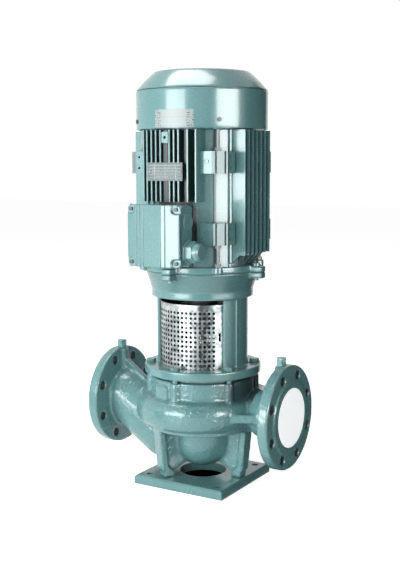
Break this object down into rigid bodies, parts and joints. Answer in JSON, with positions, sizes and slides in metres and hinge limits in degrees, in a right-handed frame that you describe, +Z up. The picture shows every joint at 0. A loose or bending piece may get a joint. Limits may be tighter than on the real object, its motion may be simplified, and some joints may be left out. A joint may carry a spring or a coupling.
{
  "type": "inline_centrifugal_pump",
  "caption": "Inline centrifugal pump with a cast volute casing, DN100 flanges, a lantern with perforated guards and a finned flange motor standing on top",
  "frame": {"origin": "centre of the underside of the foot plate, on the shaft axis, at the middle of its four foundation bolt holes", "axes": "+Z up along the shaft, -X towards the suction flange, +X towards the discharge flange, -Y the side of the terminal box"},
  "size_m": [0.4506, 0.354, 0.878],
  "materials": {
    "casing_paint": "gloss enamel over cast iron, grey green",
    "galvanised_sheet": "galvanised and spangled",
    "screw_steel": "zinc plated",
    "bearing_steel": "ground",
    "core_steel": "bare",
    "bronze": "cast and turned",
    "plate_metal": "anodised sheet",
    "white_plastic": "smooth",
    "board_plastic": "moulded",
    "gland_plastic": "moulded, painted over",
    "ceramic": "lapped",
    "copper_lacquer": "lacquered windings",
    "gasket": "soft",
    "spider_rubber": "soft"
  },
  "bodies": {
    "pump": {"base_plate": "casing_paint", "foot_screws": "screw_steel", "pump_casing": "casing_paint", "wear_ring": "bronze", "casing_gasket": "gasket", "casing_cover": "casing_paint", "seal_seat": "ceramic", "lantern": "casing_paint", "lantern_bolts": "casing_paint", "bearing_housing": "casing_paint", "housing_screws": "screw_steel", "pump_bearing_outer": "bearing_steel", "guard_front": "galvanised_sheet", "guard_rear": "galvanised_sheet", "suction_gauge_plug": "casing_paint", "discharge_gauge_plug": "casing_paint", "outlet_cover": "white_plastic", "motor_frame": "casing_paint", "de_shield": "casing_paint", "nde_shield": "casing_paint", "flange_screws": "screw_steel", "de_shield_screws": "screw_steel", "nde_shield_screws": "screw_steel", "fan_cowl": "casing_paint", "cowl_screws": "screw_steel", "stator_core": "core_steel", "stator_windings": "copper_lacquer", "terminal_box": "casing_paint", "lid_gasket": "gasket", "terminal_box_lid": "casing_paint", "lid_screws": "screw_steel", "terminal_board": "board_plastic", "cable_gland": "gland_plastic", "gland_cap": "gland_plastic", "blanking_plug": "gland_plastic", "nameplate": "plate_metal", "nameplate_rivets": "plate_metal", "cowl_label": "white_plastic", "motor_bearing_outers": "bearing_steel", "wave_spring": "screw_steel"},
    "motor_rotor": {"motor_shaft": "bearing_steel", "rotor_core": "core_steel", "fan": "board_plastic", "motor_bearing_inners": "bearing_steel", "v_ring": "gasket", "coupling_upper": "core_steel", "motor_key": "screw_steel", "fan_circlip": "screw_steel"},
    "pump_rotor": {"coupling_lower": "core_steel", "coupling_spider": "spider_rubber", "pump_shaft": "bearing_steel", "pump_bearing_inner": "bearing_steel", "seal_head": "bearing_steel", "seal_spring": "screw_steel", "impeller": "bronze", "impeller_nut": "bronze", "impeller_key": "screw_steel"},
    "motor_cages": {"motor_bearing_cages": "bronze"},
    "pump_cage": {"pump_bearing_cage": "bronze"}
  },
  "joints": [
    {"name": "motor_rotor_spin", "type": "hinge", "parent": "pump", "child": "motor_rotor", "pos_m": [0, 0, 0.5], "axis": [0, 0, 1], "continuous": true},
    {"name": "pump_rotor_spin", "type": "hinge", "parent": "pump", "child": "pump_rotor", "pos_m": [0, 0, 0.25], "axis": [0, 0, 1], "continuous": true},
    {"name": "motor_cage_spin", "type": "hinge", "parent": "pump", "child": "motor_cages", "pos_m": [0, 0, 0.62], "axis": [0, 0, 1], "continuous": true},
    {"name": "pump_cage_spin", "type": "hinge", "parent": "pump", "child": "pump_cage", "pos_m": [0, 0, 0.278], "axis": [0, 0, 1], "continuous": true}
  ],
  "couplings": [
    {"joint": "pump_rotor_spin", "follows": "motor_rotor_spin", "ratio": 1},
    {"joint": "motor_cage_spin", "follows": "motor_rotor_spin", "ratio": 0.4167},
    {"joint": "pump_cage_spin", "follows": "motor_rotor_spin", "ratio": 0.413}
  ]
}
